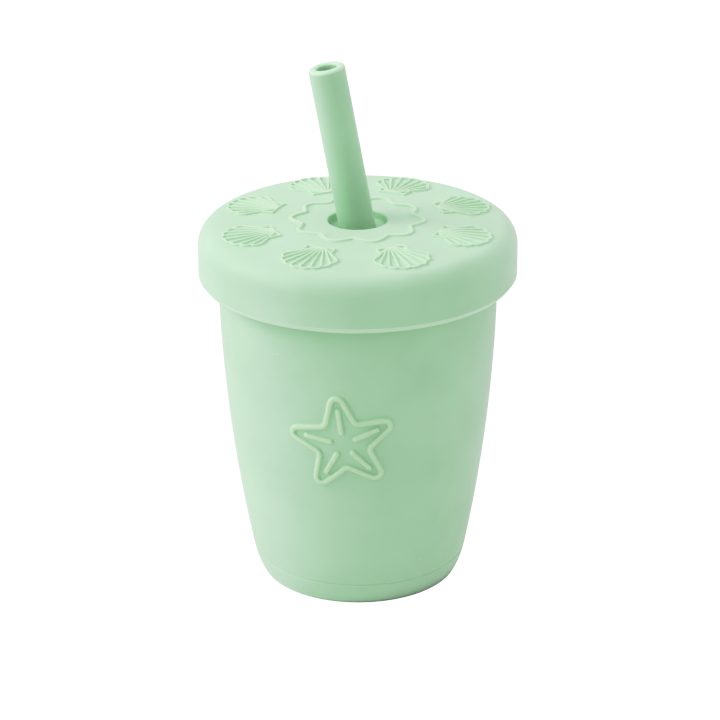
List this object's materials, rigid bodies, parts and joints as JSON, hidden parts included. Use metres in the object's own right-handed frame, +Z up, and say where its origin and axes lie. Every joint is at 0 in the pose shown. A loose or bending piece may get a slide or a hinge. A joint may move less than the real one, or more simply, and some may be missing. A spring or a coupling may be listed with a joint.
{
  "type": "straw cup with lid",
  "caption": "Soft silicone drinking cup for a small child, with a push-on lid and a thick straw through the lid's well.",
  "frame": {"origin": "centre of the base, level with the surface the cup stands on", "axes": "+Z up the cup's axis; the raised starfish faces -Y; the straw leans towards -X"},
  "size_m": [0.084, 0.084, 0.1416],
  "materials": {
    "cup_silicone": "matte moulded silicone, mint green",
    "lid_silicone": "matte moulded silicone, mint green",
    "straw_silicone": "matte extruded silicone, mint green"
  },
  "bodies": {
    "cup": {"cup": "cup_silicone"},
    "lid": {"lid": "lid_silicone"},
    "straw": {"straw": "straw_silicone"}
  },
  "joints": [
    {"name": "lid_lift", "type": "slide", "parent": "cup", "child": "lid", "axis": [0, 0, 1], "range_m": [0, 0.095]},
    {"name": "straw_slide", "type": "slide", "parent": "lid", "child": "straw", "axis": [-0.1745, 0, 0.9847], "range_m": [-0.002, 0.09]}
  ]
}
